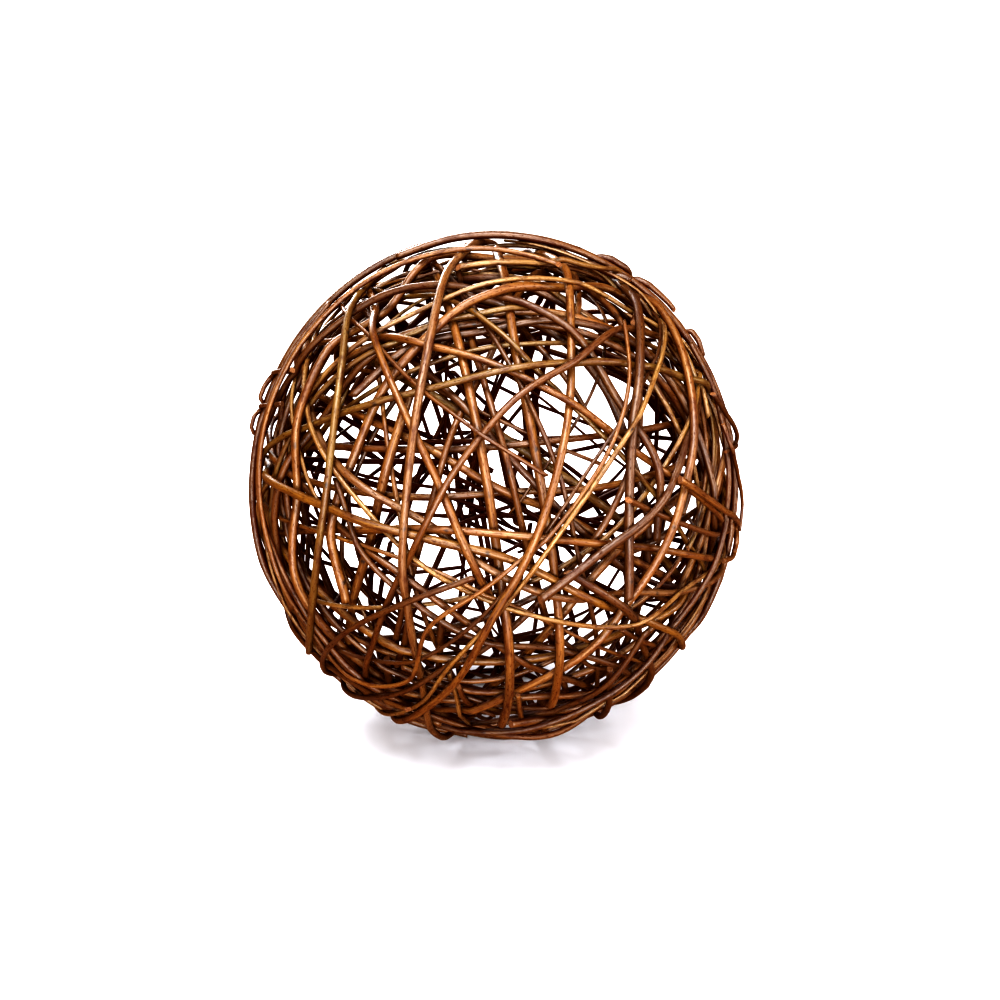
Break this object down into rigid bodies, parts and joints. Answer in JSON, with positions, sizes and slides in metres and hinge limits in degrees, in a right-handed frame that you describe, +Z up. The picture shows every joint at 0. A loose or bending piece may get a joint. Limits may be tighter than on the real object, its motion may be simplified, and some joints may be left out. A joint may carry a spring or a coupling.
{
  "type": "decorative sphere",
  "caption": "Open hollow ball woven from brown willow rods that cross over and under each other, standing on a small flat spot.",
  "frame": {"origin": "on the floor, under the middle of the ball", "axes": "+Z up, from the flat spot to the top of the ball; -Y is the side that the picture shows as the front; +X to its right"},
  "size_m": [0.298, 0.2996, 0.3057],
  "materials": {
    "stout_bark": "varnished brown willow bark, semi-gloss, with buds and fine streaks",
    "brown_bark": "varnished brown willow bark, semi-gloss, with buds and fine streaks",
    "slender_bark": "varnished paler olive to tan bark of thin willow shoots, semi-gloss"
  },
  "bodies": {
    "root": {"willow_rod_01": "stout_bark", "willow_rod_02": "stout_bark", "willow_rod_03": "brown_bark", "willow_rod_04": "stout_bark", "willow_rod_05": "stout_bark", "willow_rod_06": "brown_bark", "willow_rod_07": "stout_bark", "willow_rod_08": "stout_bark", "willow_rod_09": "stout_bark", "willow_rod_10": "brown_bark", "willow_rod_11": "brown_bark", "willow_rod_12": "brown_bark", "willow_rod_13": "brown_bark", "willow_rod_14": "slender_bark", "willow_rod_15": "stout_bark", "willow_rod_16": "brown_bark", "willow_rod_17": "stout_bark", "willow_rod_18": "brown_bark", "willow_rod_19": "stout_bark", "willow_rod_20": "slender_bark", "willow_rod_21": "brown_bark", "willow_rod_22": "brown_bark", "willow_rod_23": "slender_bark", "willow_rod_24": "brown_bark", "willow_rod_25": "slender_bark", "willow_rod_26": "slender_bark", "willow_rod_27": "brown_bark", "willow_rod_28": "slender_bark", "willow_rod_29": "slender_bark", "willow_rod_30": "stout_bark", "willow_rod_31": "brown_bark", "willow_rod_32": "brown_bark", "willow_rod_33": "stout_bark", "willow_rod_34": "brown_bark", "willow_rod_35": "brown_bark", "willow_rod_36": "brown_bark", "willow_rod_37": "brown_bark", "willow_rod_38": "slender_bark", "willow_rod_39": "stout_bark", "willow_rod_40": "slender_bark", "willow_rod_41": "slender_bark", "willow_rod_42": "brown_bark", "willow_rod_43": "brown_bark", "willow_rod_44": "brown_bark", "willow_rod_45": "stout_bark", "willow_rod_46": "stout_bark", "willow_rod_47": "stout_bark", "willow_rod_48": "brown_bark", "willow_rod_49": "brown_bark", "willow_rod_50": "slender_bark", "willow_rod_51": "brown_bark", "willow_rod_52": "brown_bark", "willow_rod_53": "stout_bark", "willow_rod_54": "brown_bark", "willow_rod_55": "stout_bark", "willow_rod_56": "brown_bark", "willow_rod_57": "slender_bark", "willow_rod_58": "brown_bark"}
  },
  "joints": []
}
